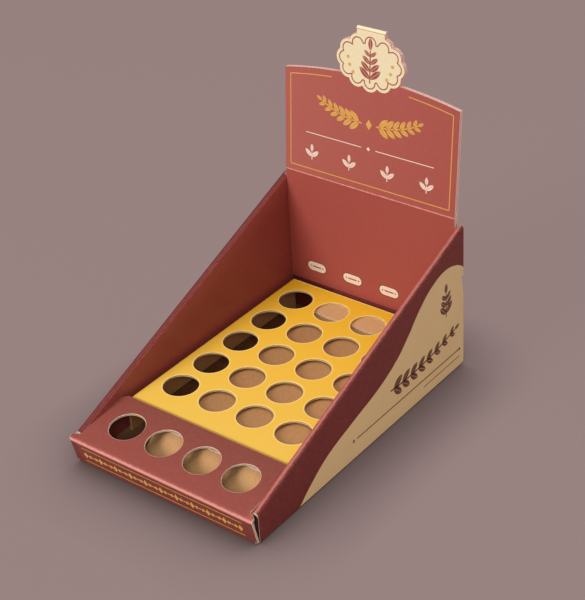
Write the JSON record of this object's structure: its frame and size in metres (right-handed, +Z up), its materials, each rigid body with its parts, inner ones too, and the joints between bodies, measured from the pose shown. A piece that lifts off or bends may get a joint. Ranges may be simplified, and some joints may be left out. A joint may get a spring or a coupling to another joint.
{
  "type": "counter display box",
  "caption": "Folded cardboard counter display: a tray with sloping side walls, a platform and front shelf drilled for small round goods, and a tall arched header card.",
  "frame": {"origin": "middle of the tray's underside, on the surface that the display stands on", "axes": "+X to the right of a person facing the display, +Y towards its back, +Z up"},
  "size_m": [0.129, 0.2088, 0.1974],
  "materials": {
    "tray_board": "matte dark red print on corrugated board",
    "card_board": "matte red print on corrugated board",
    "platform_board": "matte golden yellow print on corrugated board",
    "kraft_board": "plain brown kraft paper"
  },
  "bodies": {
    "root": {"outer_tray": "tray_board", "header_card": "card_board", "product_platform": "platform_board", "inner_support": "kraft_board"}
  },
  "joints": []
}
